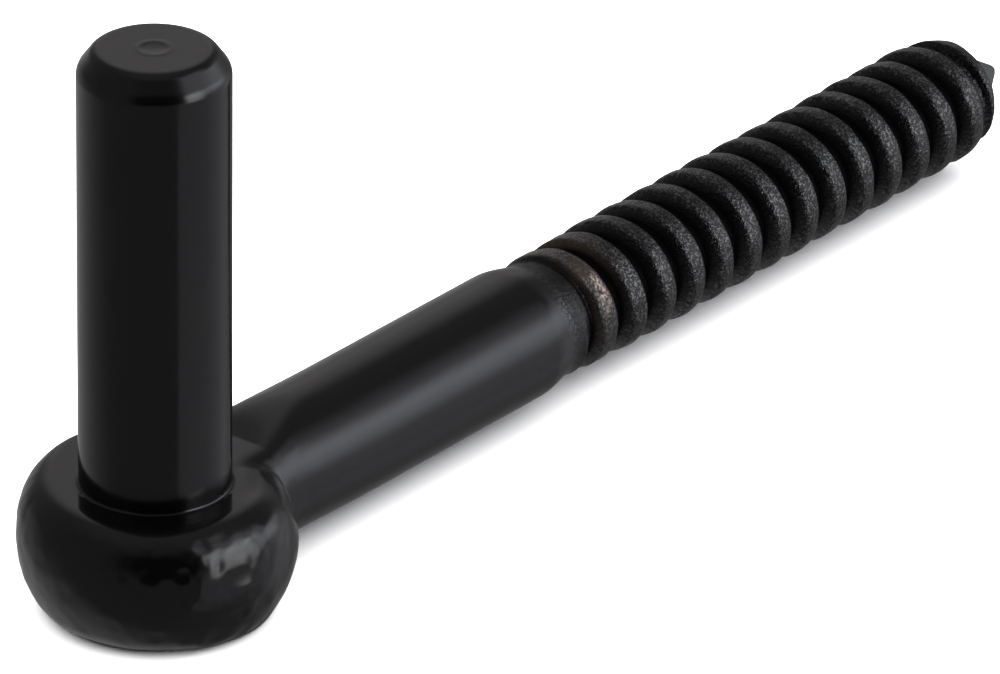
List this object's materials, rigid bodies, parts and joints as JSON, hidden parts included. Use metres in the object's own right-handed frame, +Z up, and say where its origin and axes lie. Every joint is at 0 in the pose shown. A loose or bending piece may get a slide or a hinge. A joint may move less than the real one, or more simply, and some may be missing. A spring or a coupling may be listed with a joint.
{
  "type": "gate hinge pin",
  "caption": "Screw-in gate hook: an upright hinge pin on a ball boss, with a round arm that ends in a coarse wood-screw thread and a blunt point.",
  "frame": {"origin": "on the axis of the upright pin, in the plane of the flat seat that a hinge eye rests on", "axes": "+Z up along the pin, +Y along the screw arm from the pin towards the point, +X to the side"},
  "size_m": [0.035, 0.1903, 0.076],
  "materials": {
    "black_enamel": "glossy black enamel, thick and a little uneven over forged steel"
  },
  "bodies": {
    "root": {"gate_hook": "black_enamel"}
  },
  "joints": []
}
